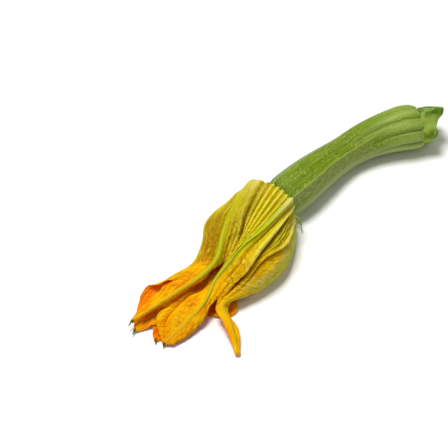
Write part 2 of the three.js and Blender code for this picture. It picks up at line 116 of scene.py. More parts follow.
def piece(name, points, quads, triangles, material, node, fields):
    """One smooth mesh of points and faces, with named vertex fields. It stands for a solid of the frame."""
    mesh = bpy.data.meshes.new(name)
    mesh.from_pydata(((points + PLACE) * MM).tolist(), [], quads.tolist() + triangles.tolist())
    for key, values in fields.items():
        kind, part = ("FLOAT", "value") if values.ndim == 1 else ("FLOAT_VECTOR", "vector")
        layer = mesh.attributes.new(key, kind, "POINT")
        layer.data.foreach_set(part, values.astype(np.float32).ravel())
    mesh.polygons.foreach_set("use_smooth", np.ones(len(mesh.polygons), bool))
    mesh.materials.append(material)
    mesh.update()
    body = bpy.data.objects.new(name, mesh)
    bpy.context.scene.collection.objects.link(body)
    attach(body, "root")
    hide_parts(node)


def turned_out(points, quads, triangles):
    """The faces, reversed if the volume that they enclose comes out negative."""
    a = np.concatenate([triangles, quads[:, :3], quads[:, [0, 2, 3]]])
    p, q, r = points[a[:, 0]], points[a[:, 1]], points[a[:, 2]]
    if (p * np.cross(q, r)).sum() < 0:
        return quads[:, ::-1], triangles[:, ::-1]
    return quads, triangles


def body_of_rings(rings, first, last):
    """Closed body: rings of points as rows of a grid, with a middle point that closes each end."""
    rows, columns = rings.shape[:2]
    ids = np.arange(rows * columns).reshape(rows, columns)
    points = np.concatenate([rings.reshape(-1, 3), first[None], last[None]])
    quads = grid_faces(ids, wrap=True)
    turn = np.roll(ids, -1, 1)
    start = np.stack([np.full(columns, len(points) - 2), ids[0], turn[0]], -1)
    end = np.stack([np.full(columns, len(points) - 1), turn[-1], ids[-1]], -1)
    return points, *turned_out(points, quads, np.concatenate([start, end]))


def tube(course, side, up, half_width, half_depth, columns):
    """Closed tube with an oval section round a course."""
    angle = even_angles(columns)
    sideways = (half_width[:, None] * np.cos(angle))[..., None] * side[:, None]
    upwards = (half_depth[:, None] * np.sin(angle))[..., None] * up[:, None]
    return body_of_rings(course[:, None] + sideways + upwards, course[0], course[-1])


# Materials

class Signal:
    """A shader socket that takes part in Python arithmetic."""

    def __init__(self, paint, socket):
        self.paint, self.socket = paint, socket

    def with_(self, operation, *values):
        return self.paint.node("ShaderNodeMath", {"operation": operation}, dict(enumerate(values)))

    def __add__(self, other):
        return self.with_("ADD", self, other)

    def __sub__(self, other):
        return self.with_("SUBTRACT", self, other)

    def __mul__(self, other):
        return self.with_("MULTIPLY", self, other)

    def __rsub__(self, other):
        return self.with_("SUBTRACT", other, self)

    __radd__ = __add__

    def absolute(self):
        return self.with_("ABSOLUTE", self)

    def fraction(self):
        return self.with_("FRACT", self)

    def above(self, low, high):
        """0 below low, 1 above high and smooth between. Low may be the larger, which turns it round."""
        settings = {"interpolation_type": "SMOOTHSTEP"}
        if low > high:
            return 1 - self.above(high, low)
        return self.paint.node("ShaderNodeMapRange", settings, {0: self, 1: low, 2: high, 3: 0.0, 4: 1.0})


class Paint:
    """The nodes of one material."""

    def __init__(self, name, **shader):
        self.material = bpy.data.materials.new(name)
        self.material.use_nodes = True
        self.tree = self.material.node_tree
        self.shader = next(n for n in self.tree.nodes if n.type == "BSDF_PRINCIPLED")
        for key, value in shader.items():
            self.shader.inputs[key.replace("_", " ")].default_value = value

    def node(self, kind, settings, inputs, output=0):
        made = self.tree.nodes.new(kind)
        for key, value in settings.items():
            setattr(made, key, value)
        for key, value in inputs.items():
            if isinstance(value, Signal):
                self.tree.links.new(value.socket, made.inputs[key])
            else:
                made.inputs[key].default_value = value
        return Signal(self, made.outputs[output])

    def place(self):
        return self.node("ShaderNodeTexCoord", {}, {}, "Object")

    def field(self, name, output="Fac"):
        return self.node("ShaderNodeAttribute", {"attribute_name": name}, {}, output)

    def axes(self, vector):
        return [self.node("ShaderNodeSeparateXYZ", {}, {0: vector}, n) for n in range(3)]

    def vector(self, x, y, z):
        return self.node("ShaderNodeCombineXYZ", {}, {0: x, 1: y, 2: z})

    def noise(self, where, scale, detail=2.0, rough=0.5, bend=0.0):
        inputs = {"Vector": where, "Scale": scale, "Detail": detail, "Roughness": rough, "Distortion": bend}
        return self.node("ShaderNodeTexNoise", {}, inputs)

    def mix(self, factor, first, second):
        return self.node("ShaderNodeMix", {"data_type": "RGBA"}, {0: factor, 6: first, 7: second}, 2)

    def finish(self, color, roughness, height, depth):
        """Links the colour, the roughness and bumps of a depth in metres, and hands back the material."""
        normal = self.node("ShaderNodeBump", {}, {"Strength": 1.0, "Distance": depth, "Height": height})
        for name, signal in {"Base Color": color, "Roughness": roughness, "Normal": normal}.items():
            self.tree.links.new(signal.socket, self.shader.inputs[name])
        return self.material


def tone(red, green, blue):
    """A display colour in 0 to 255, as the linear colour that a shader takes."""
    c = np.array([red, green, blue]) / 255
    return (*np.where(c <= 0.04045, c / 12.92, ((c + 0.055) / 1.055) ** 2.4), 1.0)


# Camera, floor and light

CAMERA_AZIMUTH = math.radians(37)
CAMERA_ELEVATION = math.radians(50)
CAMERA_DISTANCE = 1.0
LOOK_AT = np.array([-30.0, 40.0, 0.0])
PHOTO_WIDTH = 448
FOCAL_LENGTH_IN_PIXELS = 1600
SENSOR_WIDTH = 36
FLOOR_REACH = 3.0
FLOOR_COLOR = (0.94, 0.94, 0.94, 1)
ROOM_LIGHT = 0.3
WINDOW_IN_VIEW = (-0.29, 0.18, 1.3)
WINDOW_DISTANCE = 1.2
WINDOW_SIZE = 0.5
WINDOW_POWER = 13.9
WINDOW_COLOR = (1, 0.99, 0.97)


def in_view(right, away, up):
    """A direction given by the photograph's right, the floor's depth and height, in the object's axes."""
    turn, lean = math.cos(CAMERA_AZIMUTH), math.sin(CAMERA_AZIMUTH)
    return Vector((right * turn + away * lean, away * turn - right * lean, up))


def add_camera():
    back = in_view(0, -math.cos(CAMERA_ELEVATION), math.sin(CAMERA_ELEVATION))
    right = in_view(1, 0, 0)
    up = back.cross(right)
    data = bpy.data.cameras.new("camera")
    data.sensor_width = SENSOR_WIDTH
    data.lens = FOCAL_LENGTH_IN_PIXELS / PHOTO_WIDTH * SENSOR_WIDTH
    data.clip_start, data.clip_end = 0.05, 20
    camera = bpy.data.objects.new("camera", data)
    target = Vector((LOOK_AT + PLACE) * MM)
    turned = Matrix((right, up, back)).transposed().to_4x4()
    camera.matrix_world = Matrix.Translation(target + back * CAMERA_DISTANCE) @ turned
    bpy.context.scene.collection.objects.link(camera)
    bpy.context.scene.camera = camera


def add_window():
    """Round area light that faces the middle of the scene."""
    data = bpy.data.lights.new("window", "AREA")
    data.shape = "DISK"
    data.size = WINDOW_SIZE
    data.energy = WINDOW_POWER
    data.color = WINDOW_COLOR
    window = bpy.data.objects.new("window", data)
    back = in_view(*WINDOW_IN_VIEW).normalized()
    window.location = back * WINDOW_DISTANCE
    window.rotation_euler = back.to_track_quat("Z", "Y").to_euler()
    bpy.context.scene.collection.objects.link(window)


def add_floor():
    paint = Paint("pale floor", Roughness=0.9)
    paint.shader.inputs["Base Color"].default_value = FLOOR_COLOR
    points = np.array([[-1, -1, 0], [1, -1, 0], [1, 1, 0], [-1, 1, 0]]) * FLOOR_REACH
    mesh = bpy.data.meshes.new("floor")
    mesh.from_pydata(points.tolist(), [], [(0, 1, 2, 3)])
    mesh.materials.append(paint.material)
    floor = bpy.data.objects.new("floor", mesh)
    bpy.context.scene.collection.objects.link(floor)


def add_room():
    world = bpy.data.worlds.new("soft white room")
    world.use_nodes = True
    background = world.node_tree.nodes["Background"]
    background.inputs["Color"].default_value = (1, 1, 1, 1)
    background.inputs["Strength"].default_value = ROOM_LIGHT
    bpy.context.scene.world = world
    bpy.context.scene.view_settings.view_transform = "Standard"


# Fruit

# Places along the fruit with its mean radius there, and the depth of its flat sides and of its grooves
FRUIT_STATIONS = [
    (1.5, 25.4, 11.2), (7.5, 26.1, 13.2), (20, 27.8, 13.4), (34, 30.4, 12.6), (48, 32.7, 11.5),
    (62, 34.0, 10.9), (76, 33.4, 11.8), (89, 30.6, 13.0), (101, 26.4, 14.3), (108, 23.2, 14.4),
    (112.4, 21.4, 13.4),
]
FACET_DEPTH = [0.02, 0.045, 0.045, 0.045, 0.045, 0.04, 0.03, 0.015, 0.005, 0, 0]
GROOVE_DEPTH = [0, 0, 0, 0, 0, 0.005, 0.03, 0.07, 0.11, 0.13, 0.13]
CROWNS = 10
FIRST_CROWN = math.radians(36)
CROWN_TWIST = math.radians(10)
SHALLOW_GROOVE, SHALLOW_WIDTH, SHALLOW_PART = math.radians(-18), 0.25, 0.75
FACET_AVERAGE, GROOVE_AVERAGE = 0.67, 0.25
FIRST_FLAT, FLAT_SPACING = 0.12, 0.4
FLAT_DEPTH, FLAT_RISE = 0.55, 0.25
SKIN_LENGTH = 115


def fruit_course(t):
    """Place and mean radius along the fruit, and the level direction of its course."""
    station = spline(FRUIT_STATIONS, t)
    way = spline_way(FRUIT_STATIONS, t, 0.001)
    way[..., 2] = 0
    return station, unit(way)


def fruit_rings(t, angle, scale, shift):
    """Rings of the skin. With u from 0 on a crown to 1 half way to the next, the radius is cut by a facet's
    depth times 2u - u^2, which makes flat sides, and by a groove's depth times u^3, which grows to the stalk.
    About the average of both cuts is added first. The groove on top is shallower. Each ring is set down on
    the floor, a little lower at three places."""
    station, along = fruit_course(t)
    turned = angle[None] - FIRST_CROWN - CROWN_TWIST * (1 - t[:, None])
    u = np.arccos(np.cos(CROWNS * turned)) / np.pi
    facet, groove = spline(FACET_DEPTH, t)[:, None], spline(GROOVE_DEPTH, t)[:, None]
    from_shallow = (angle[None] - SHALLOW_GROOVE + np.pi) % (2 * np.pi) - np.pi
    groove = groove * (1 - SHALLOW_PART * np.exp(-((from_shallow / SHALLOW_WIDTH) ** 2)))
    average = 1 + FACET_AVERAGE * facet + GROOVE_AVERAGE * groove
    radius = station[:, 2:] * (average - facet * (2 * u - u**2) - groove * u**3)
    spokes = around(along[:, None], np.broadcast_to(angle, radius.shape)) * radius[..., None]
    lift = FLAT_RISE * (1 - np.cos(2 * np.pi * (t - FIRST_FLAT) / FLAT_SPACING)) - FLAT_DEPTH
    height = lift - spokes[..., 2].min(1)
    middle = np.stack([station[:, 0], station[:, 1], height], -1) + along * shift[:, None]
    rings = middle[:, None] + spokes * scale[:, None, None]
    rings[..., 2] = np.maximum(rings[..., 2], 0)
    return rings, middle, turned, u


def fruit_green(paint, along, turn, depth, mottle, specks):
    """Streaks and specks that run along the fruit, then painted reflection and shade: a duller, greyer green
    below the crown at turn 0, and a pale painted reflection further down."""
    streak = paint.noise(paint.vector(along * 0.06, turn * 8, 0.0), 1.0, 4.0, 0.62)
    green = paint.mix(streak.above(0.36, 0.64), tone(100, 126, 0), tone(128, 150, 14))
    green = paint.mix(mottle.above(0.52, 0.36) * 0.6, green, tone(84, 116, 0))
    green = paint.mix(specks.above(0.42, 0.34) * 0.5, green, tone(76, 106, 0))
    # Painted reflection and shade: a greyer, duller green below the lit crown, and a pale painted reflection
    # lower down.
    reflection_band = turn.above(-0.03, 0.03) * turn.above(2.9, 2.6) * (1 - depth.above(0.0, 0.45))
    reflection_green = paint.mix(mottle.above(0.35, 0.65), tone(110, 126, 44), tone(140, 154, 84))
    green = paint.mix(reflection_band * 0.75, green, reflection_green)
    lower_reflection = turn.above(0.5, 0.95) * turn.above(2.4, 1.8)
    return paint.mix(lower_reflection * 0.65, green, tone(162, 180, 104))


def fruit_grooves(paint, turn, hollow, depth, color):
    """Painted shade in the hollows and painted highlights on the crowns where the grooves are deep, a painted
    highlight along the crown at turn 0 where they aren't, and a paler skin near the stalk."""
    # Painted shade in the grooves, and painted highlights on their crowns and along the crown at turn 0.
    groove_shade = hollow.above(0.55, 1.0) * depth.above(0.1, 0.7)
    crown_highlight = hollow.above(0.5, 0.0) * depth.above(0.3, 1.0)
    crown_line_highlight = (turn + 0.03).absolute().above(0.06, 0.02) * (1 - depth.above(0.0, 0.5))
    color = paint.mix(groove_shade * 0.45, color, tone(80, 112, 8))
    color = paint.mix(crown_highlight * 0.75, color, tone(158, 180, 84))
    color = paint.mix(crown_line_highlight * 0.6, color, tone(160, 182, 84))
    return paint.mix(depth.above(0.2, 0.9) * 0.4, color, tone(158, 182, 84))


def fruit_paint():
    paint = Paint("waxy skin", IOR=1.45, Coat_Weight=0.1, Coat_Roughness=0.3, Specular_IOR_Level=0.3)
    where = paint.place()
    along, turn, hollow = paint.axes(paint.field("skin", "Vector"))
    depth = paint.field("depth")
    mottle = paint.noise(paint.vector(along * 0.3, turn * 7, 3.0), 1.0, 3.0, 0.65)
    specks = paint.noise(paint.vector(along * 0.6, turn * 12, 7.0), 1.0, 2.0, 0.55, 0.3)
    color = fruit_green(paint, along, turn, depth, mottle, specks)
    color = fruit_grooves(paint, turn, hollow, depth, color)
    pale_speck = specks.above(0.54, 0.62) * paint.noise(where, 55).above(0.34, 0.52)
    color = paint.mix(pale_speck * 0.7, color, tone(168, 188, 84))
    fine = paint.noise(where, 900)
    height = pale_speck * 0.4 + mottle * 0.45 + fine * 0.15
    return paint.finish(color, 0.36 + fine * 0.2 + mottle * 0.1, height, 0.0008)


def add_fruit():
    """The fruit's rings. Smaller rings, moved along the course, round off each end."""
    rows, columns = int(240 * FINE), int(320 * FINE)
    t = np.concatenate([[0, 0, 0, 0], np.linspace(0, 1, rows), [1, 1, 1, 1]])
    scale = np.concatenate([[0.3, 0.6, 0.86, 0.95], np.ones(rows), [0.975, 0.93, 0.82, 0.5]])
    shift = np.concatenate([[0, 0, 0.05, 0.3], np.zeros(rows), [0.4, 0.7, 0.9, 0.9]])
    shift[4:8] = [0.9, 0.4, 0.15, 0.05]
    angle = even_angles(columns)
    rings, middle, turned, u = fruit_rings(t, angle, scale, shift)
    points, quads, triangles = body_of_rings(rings, middle[0], middle[-1])
    distance = np.broadcast_to(t[:, None] * SKIN_LENGTH, turned.shape)
    skin = np.stack([distance, turned, u], -1).reshape(-1, 3)
    skin = np.concatenate([skin, [[0, 0, 1], [SKIN_LENGTH, 0, 1]]])
    depth = spline(GROOVE_DEPTH, t)[:, None] / max(GROOVE_DEPTH)
    depth = np.broadcast_to(depth, turned.shape).ravel()
    fields = {"skin": skin, "depth": np.concatenate([depth, [0, 1]])}
    piece("fruit_skin", points, quads, triangles, fruit_paint(), "fruit", fields)


# Stalk

STALK_LENGTH = 11.4
STALK_RADIUS = [12.4, 12.7, 12.5, 12.1, 11.6, 11.0]
STALK_LOBES = [0.04, 0.12, 0.15, 0.17, 0.18, 0.18]
STALK_INSET, STALK_RAISE = 0.6, 1.0
STALK_LEAN = 0.16
CUT_RADIUS = 11.6
CUT_SLANT_UP, CUT_SLANT_ACROSS = 3.2, 2.6
LOBE_LONGER = 1.2
LOW_LOBE, LOW_LOBE_WIDTH, LOW_LOBE_DROP = math.radians(285), 0.5, 0.13
SPREAD_SIDE, LOBE_SPREAD = math.radians(39), 0.2


def stalk_paint():
    paint = Paint("stalk skin", IOR=1.42, Specular_IOR_Level=0.25)
    where = paint.place()
    lobe, cut = paint.field("lobe"), paint.field("cut")
    _, _, up = paint.axes(where)
    grain = paint.noise(where, 260, 3.0, 0.6)
    cloud = paint.noise(where, 120)
    # Painted light and shade: lobes are painted dark green high on the stalk and lighter low down, set by
    # height rather than by the stalk's own green.
    crown = paint.mix(up.above(0.012, 0.02), tone(150, 182, 30), tone(66, 100, 2))
    color = paint.mix((lobe + cloud * 1.2).above(0.0, 1.3), tone(144, 166, 54), crown)
    color = paint.mix(paint.noise(where, 190).above(0.5, 0.64) * 0.5, color, tone(160, 184, 90))
    color = paint.mix(grain.above(0.45, 0.7) * 0.3, color, tone(136, 164, 60))
    pith = paint.mix(grain.above(0.4, 0.65), tone(196, 206, 130), tone(160, 180, 88))
    color = paint.mix(cut, color, pith)
    return paint.finish(color, 0.42 + grain * 0.2, grain, 0.0006)


def stalk_wave(angle):
    """Wave of five lobes round the stalk, from -1 in a hollow to 1 on a lobe. One hollow lies on the spread
    side, and the sine of the angle from it draws the two lobes beside it a little apart."""
    faced = angle - SPREAD_SIDE
    return -np.cos(5 * (faced - LOBE_SPREAD * np.sin(faced)))


def add_stalk():
    """Star of five lobes: radius times one plus depth times the wave, with one lobe lower than the others. It
    is cut on the slant, the lobes a little longer than the hollows, and smaller rings round off the cut."""
    rows, columns = int(60 * FINE), int(200 * FINE)
    _, middle, _, _ = fruit_rings(np.ones(1), even_angles(40), np.ones(1), np.array([STALK_INSET]))
    root = middle[0] + STALK_RAISE * UPWARD
    _, along = fruit_course(np.ones(1))
    along = unit(along + STALK_LEAN * np.array(in_view(0, -1, 0)))[0]
    angle = even_angles(columns)
    at_cut = [0.93, 0.96, 0.98, 0.98, 0.95, 0.93, 0.92]
    t = np.concatenate([[0, 0, 0.015], np.linspace(0.04, 0.9, rows), at_cut])
    scale = np.concatenate([[0.55, 0.96, 0.99], np.ones(rows), [0.985, 0.955, 0.9, 0.82, 0.7, 0.5, 0.25]])
    cut = np.concatenate([np.zeros(3 + rows), [0, 0.2, 0.8, 1, 1, 1, 1]])
    wave = stalk_wave(angle)
    lower = 1 - LOW_LOBE_DROP * np.exp(-(((angle - LOW_LOBE) / LOW_LOBE_WIDTH) ** 2))
    lobes = 1 + spline(STALK_LOBES, t)[:, None] * wave
    radius = spline(STALK_RADIUS, t)[:, None] * scale[:, None] * lobes * lower
    slant = CUT_SLANT_UP * np.cos(angle) - CUT_SLANT_ACROSS * np.sin(angle)
    slant = slant + LOBE_LONGER * np.tanh(2.5 * wave)
    reach = t[:, None] * (STALK_LENGTH + slant * radius / CUT_RADIUS)
    rings = root + reach[..., None] * along + radius[..., None] * around(along, angle)[None]
    points, quads, triangles = body_of_rings(rings, root, root + along * STALK_LENGTH * 0.9)
    wave, cut = np.broadcast_arrays(wave[None], cut[:, None])
    fields = {"lobe": np.concatenate([wave.ravel(), [0, 0]]), "cut": np.concatenate([cut.ravel(), [0, 1]])}
    piece("cut_stalk", points, quads, triangles, stalk_paint(), "stalk", fields)


# Flower's end of the fruit

BLOSSOM = np.array([*FRUIT_STATIONS[0][:2], 13.0])
BACK = fruit_course(np.zeros(1))[1][0]


def at_blossom(ahead, radius, angle):
    """Point ahead of the fruit's end towards the mouth, at a radius and an angle round the middle."""
    ahead, radius, angle = np.broadcast_arrays(ahead, radius, angle)
    return BLOSSOM - ahead[..., None] * BACK + radius[..., None] * around(BACK, angle)


def turned_body(ahead, radius, columns):
    """Round body ahead of the fruit's end, closed at its first and last place."""
    rings = at_blossom(ahead[:, None], radius[:, None], even_angles(columns)[None])
    ends = at_blossom(ahead[[0, -1]], 0.0, 0.0)
    return body_of_rings(rings, ends[0], ends[1])


# Corolla

# The petals' midribs leave a ring on the calyx and run through these stations to the tips.
RING_RADIUS, RING_AHEAD = 10.6, 3.6
RING_ANGLES = np.radians([-46, 50, 120, 190, 258])
MIDRIBS = [
    [(-11, 37, 29), (-35.6, 23.4, 34), (-50.9, 12.6, 33), (-63, 3, 28),
     (-73, 2, 22), (-89, 3, 18), (-105, 6, 12), (-122, 9, 6)],
    [(-1, 11, 29), (-29, 1, 33), (-46, 0, 30), (-58.6, -2, 24),
     (-69.4, -3.6, 17), (-82, -9.5, 12), (-98, -12, 7), (-115, -14, 2)],
    [(1, 10, 9), (-12, -5, 9), (-27, -15, 9), (-45, -18, 8),
     (-59, -17, 9), (-72.6, -16, 9), (-76.4, -29, 6), (-84, -46, 2)],
    [(-8, 25, 1), (-23, 18, 1), (-38, 13, 1), (-52, 10, 1),
     (-68, 6, 1), (-85, 1, 1), (-101, -3, 1), (-117, -8, 1)],
    [(-12, 41, 14), (-32, 39, 18), (-48, 33, 20), (-58, 23, 19),
     (-70, 16, 15), (-86, 15.5, 11), (-104, 13, 6), (-123, 5, 2)],
]
MIDRIB_HEIGHT = [0.8, 1.4, 1.3, 1.2, 1.1, 1.0, 0.8, 0.6, 0.4]
MIDRIB_WIDTH = [1.6, 1.8, 1.7, 1.5, 1.4, 1.3, 1.1, 0.9, 0.5]
MIDRIB_BREADTH = [1.0, 1.05, 1.8, 1.1, 1.7]

# Seam number k lies between petals k and k + 1. It ends at this part of their length, and its fullness is its
# distance from the flower's middle as a part of the midribs' distance.
SEAM_ENDS = [0.5, 0.7, 0.5, 0.5, 0.6]
SEAM_FULLNESS = [
    [1, 1, 0.92, 0.72, *[0.6] * 5],
    [1, 0.92, 0.97, 0.92, 0.88, 0.9, 1, 1, 1],
    [1, 1, 0.95, *[0.9] * 6],
    [1, 1, 0.95, 0.95, *[0.9] * 5],
    [1, 1, 1, 1, 0.95, *[0.9] * 4],
]

# Each petal's two free margins from the seams' ends to the tip, and how high its halves arch between midrib
# and margin as a part of their width
MARGINS = [
    [[(-80.5, 9, 22), (-90, 10.5, 19), (-99, 11.4, 16), (-109, 12.3, 11), (-122, 9.5, 6.5)],
     [(-63.8, 5.1, 18), (-69.8, 5.5, 14), (-86, 5.9, 10.5), (-102.4, 8.1, 6), (-122, 8.4, 5.5)]],
    [[(-60.9, 3.5, 15), (-68.1, 2.9, 11), (-78.3, 1.6, 11), (-88.6, 2.7, 12),
      (-100, 3, 10), (-109.6, 1, 6), (-115.2, -13.2, 2)],
     [(-82, -13, 8), (-88, -16, 5), (-97, -18, 3), (-108, -17, 2), (-114.6, -14.6, 2)]],
    [[(-79, -17, 10), (-80, -25, 8), (-83, -36, 5), (-85.6, -45, 2)],
     [(-52, -14.5, 3), (-61, -13.7, 4), (-68.5, -15.1, 4),
      (-72.2, -24, 4.5), (-76.4, -36.7, 4), (-83, -46.2, 2)]],
    [[(-59.6, -13.3, 1), (-65.3, -19.8, 1.5), (-74, -19.3, 1), (-82, -12, 1),
      (-94.5, -12, 1), (-107, -11, 1), (-117, -8.7, 1)],
     [(-66, 16, 2), (-80, 15, 2), (-94, 10, 1.5), (-106, 5, 1.5), (-113, 0, 2), (-117, -7.4, 1)]],
    [[(-84, 5, 9), (-96, 4, 5), (-107, 0, 3), (-116, 2, 2), (-123, 4.4, 2)],
     [(-87, 10.9, 18), (-92.4, 15.4, 16), (-97.4, 17.9, 14), (-102.3, 20.6, 11),
      (-106.9, 20.4, 8), (-110.5, 17.4, 5), (-123, 5.6, 2)]],
]
ARCHES = [[0.04, 0.08], [0.03, 0.16], [0.2, 0.0], [0.0, 0.1], [0.1, 0.12]]

# Lines that run along a seam's strip, as places from 0 on one midrib to 1 on the next
THIS_RIB, NEXT_RIB = [0] * 9, [1] * 9
TOP_NEAR = [0.1, 0.12, 0.13, 0.18, *[0.2] * 5]
TOP_MIDDLE = [0.18, 0.2, 0.33, 0.55, 0.62, 0.7, 0.8, 0.8, 0.8]
TOP_FAR = [0.26, 0.29, 0.42, 0.63, 0.72, 0.8, 0.9, 0.9, 0.9]
FRONT_NEAR = [0.29, 0.27, 0.23, 0.35, 0.5, 0.6, 0.7, 0.7, 0.7]
FRONT_FAR = [0.72, 0.7, 0.65, 0.55, 0.64, 0.75, 0.8, 0.8, 0.8]

# Per seam, bands of pleats: the two lines they lie between, how many there are, and their depth
PLEATS = [
    [(TOP_FAR, NEXT_RIB, 6, [0.8, 1.2, 1.3, 0.9, 0.4, 0.2, 0, 0, 0]),
     (THIS_RIB, TOP_NEAR, 2, [0.4, 0.6, 0.4, 0.3, 0.2, 0, 0, 0, 0]),
     (TOP_NEAR, TOP_MIDDLE, 2, [0.5, 0.7, 0.5, 0.3, 0.2, 0, 0, 0, 0])],
    [(THIS_RIB, FRONT_NEAR, 3, [0.7, 1.1, 0.8, 0.6, 0.5, 0.4, 0.3, 0.1, 0]),
     ([0.36, 0.35, 0.32, 0.45, 0.58, 0.69, 0.72, 0.72, 0.72], FRONT_FAR, 4,
      [0.7, 1.4, 1.1, 0.5, 0.2, 0, 0, 0, 0]),
     ([0.78, 0.78, 0.75, 0.59, 0.68, 0.78, 0.8, 0.8, 0.8], NEXT_RIB, 2,
      [0.4, 0.8, 0.6, 0.4, 0.3, 0.2, 0, 0, 0])],
    [(THIS_RIB, NEXT_RIB, 6, [0.4, 1.0, 1.2, 1.2, 0.8, 0.4, 0.2, 0, 0])],
    [(THIS_RIB, NEXT_RIB, 6, [0.3, 0.6, 0.7, 0.7, 0.6, 0.4, 0.2, 0, 0])],
    [(THIS_RIB, NEXT_RIB, 5, [0.4, 1.0, 1.1, 0.9, 0.7, 0.4, 0.2, 0, 0])],
]

# Per seam, single folds: their line, their height, which is below 0 for a crease, and their width
FOLDS = [
    [(TOP_MIDDLE, [0.2, 0.6, 1.1, 1.2, 0.6, 0, 0, 0, 0], 0.05),
     ([0.26, 0.29, 0.42, 0.63, 0.7, 0.8, 0.9, 0.9, 0.9],
      [-0.3, -1.3, -2.6, -3.0, -2.2, -0.5, 0, 0, 0], 0.055),
     (TOP_NEAR, [0.2, 0.5, 0.6, 0.3, 0, 0, 0, 0, 0], 0.04),
     ([0.2, 0.2, 0.23, 0.28, *[0.3] * 5],
      [0, 0, -0.2, -1.0, -0.6, 0, 0, 0, 0], 0.035),
     ([*[0.6] * 6, 0.58, 0.65, 0.8],
      [0, 0, 0, 0, 0, -0.4, -1.6, -2.0, -0.6], 0.04)],
    [(FRONT_NEAR, [0.3, 0.8, 1.8, 2.4, 2.0, 1.0, 0, 0, 0], 0.05),
     ([0.37, 0.35, 0.31, 0.44, 0.58, 0.68, 0.72, 0.72, 0.72],
      [-0.3, -1.0, -2.6, -3.6, -3.2, -2.4, -0.5, 0, 0], 0.055),
     (FRONT_FAR, [0.2, 0.8, 1.6, 2.0, 1.5, 0.6, 0, 0, 0], 0.045),
     ([0.8, 0.79, 0.75, 0.6, 0.69, 0.8, 0.8, 0.8, 0.8],
      [0, -0.6, -1.4, -2.2, -1.8, -0.8, 0, 0, 0], 0.04),
     ([0.17, 0.17, 0.13, 0.2, 0.28, 0.35, 0.3, 0.3, 0.3],
      [0, -0.3, -0.8, -1.0, -1.2, -0.8, -0.2, 0, 0], 0.06)],
    [], [], [],
]

VEIN_SPACING, FORK_SPACING = 4.2, 5.5
WAVE_HEIGHT, FRILL_HEIGHT = 0.9, 0.6
CUSHION_HEIGHT, PUCKER_HEIGHT = 0.4, 0.25
FLOOR_GAP, FLOOR_EASE = 0.45, 0.5
INNER_MARGIN = 9.0
RIM_THICKNESS, PETAL_THICKNESS, RIM_WIDTH = 0.28, 0.6, 3.0


def seam_beside(k, sign):
    """Number of the seam on one side of petal k."""
    return k if sign > 0 else (k - 1) % 5


def midribs(s):
    """The five midribs at s, from the ring on the calyx through their stations to the tips."""
    roots = at_blossom(RING_AHEAD, RING_RADIUS, RING_ANGLES)
    routes = [np.concatenate([root[None], stations]) for root, stations in zip(roots, MIDRIBS)]
    return np.stack([spline(route, s) for route in routes])


def joined_part(k, sign, s, across):
    """Round part of the flower: from the midrib's direction about the middle of all midribs, turned evenly
    to the direction half way to the next one, at a distance that eases from the midrib's to the seam's."""
    ribs = midribs(s)
    middle = ribs.mean(0)
    own, other = ribs[k] - middle, ribs[(k + sign) % 5] - middle
    start = unit(own)
    end = unit(start + unit(other))
    fullness = spline(SEAM_FULLNESS[seam_beside(k, sign)], s)[:, None]
    reach = fullness * (length(own) + length(other)) / 2
    angle = np.arccos(np.clip((start * end).sum(-1), -1, 1))[:, None]
    first, second = np.sin((1 - across) * angle) / np.sin(angle), np.sin(across * angle) / np.sin(angle)
    direction = first[..., None] * start[:, None] + second[..., None] * end[:, None]
    distance = length(own) + (reach - length(own)) * smooth(across)
    return middle[:, None] + direction * distance[..., None]


def half_petal(k, sign, s, across):
    """Half a petal, from its midrib to its seam, and past the seam's end to its own margin: a straight chord
    between midrib and margin, with the round of the joined part fading out and a low arch fading in."""
    side = 1 if sign > 0 else 0
    end = SEAM_ENDS[seam_beside(k, sign)]
    joined = joined_part(k, sign, np.minimum(s, end), across)
    at_end = joined_part(k, sign, np.array([end]), across)[0]
    t = np.clip((s - end) / (1 - end), 0, 1)
    rib = midribs(s)[k]
    margin = spline(np.concatenate([at_end[-1:], MARGINS[k][side]]), t)
    chord = margin - rib
    start_chord = at_end[-1] - at_end[0]
    round_part = at_end - at_end[0] - across[:, None] * start_chord
    fading = length(chord) / np.linalg.norm(start_chord) * (1 - smooth(t / 0.6)[:, None])
    way = midribs(np.minimum(s + 0.01, 1))[k] - midribs(np.maximum(s - 0.01, 0))[k]
    outward = unit(np.cross(way, chord) * sign)
    parabola = 4 * (across * (1 - across))[None]
    rise = ARCHES[k][side] * length(chord) * parabola * smooth(t / 0.5)[:, None]
    free = rib[:, None] + across[None, :, None] * chord[:, None]
    free = free + round_part[None] * fading[..., None] + rise[..., None] * outward[:, None]
    return np.where((s <= end)[:, None, None], joined, free)


def seam_relief(seam, s, w):
    """Height over a seam's strip, w going from 0 on one midrib to 1 on the next. Pleats are |sin|^0.9
    between two lines that wander with s, which leaves sharp ridges. Folds are pinched bells, exp(-|x|^1.5),
    along such lines. The second value places painted highlights and painted shade: above 0 on ridges and
    below 0 in creases."""
    height, edge = np.zeros(w.shape), np.zeros(w.shape)
    for start, end, number, depth in PLEATS[seam]:
        first, last = spline(start, s)[:, None], spline(end, s)[:, None]
        p = (w - first) / (last - first)
        wave = np.abs(np.sin(np.pi * number * np.clip(p, 0, 1)))
        height -= spline(depth, s)[:, None] * wave**0.9
        edge += spline(depth, s)[:, None] * np.exp(-((wave / 0.3) ** 2)) * ((p > 0) & (p < 1))
    for line, amount, width in FOLDS[seam]:
        x = np.abs(w - spline(line, s)[:, None]) / width
        height += spline(amount, s)[:, None] * np.exp(-(x**1.5))
        edge += spline(amount, s)[:, None] * np.exp(-3 * x**2)
    return height, edge


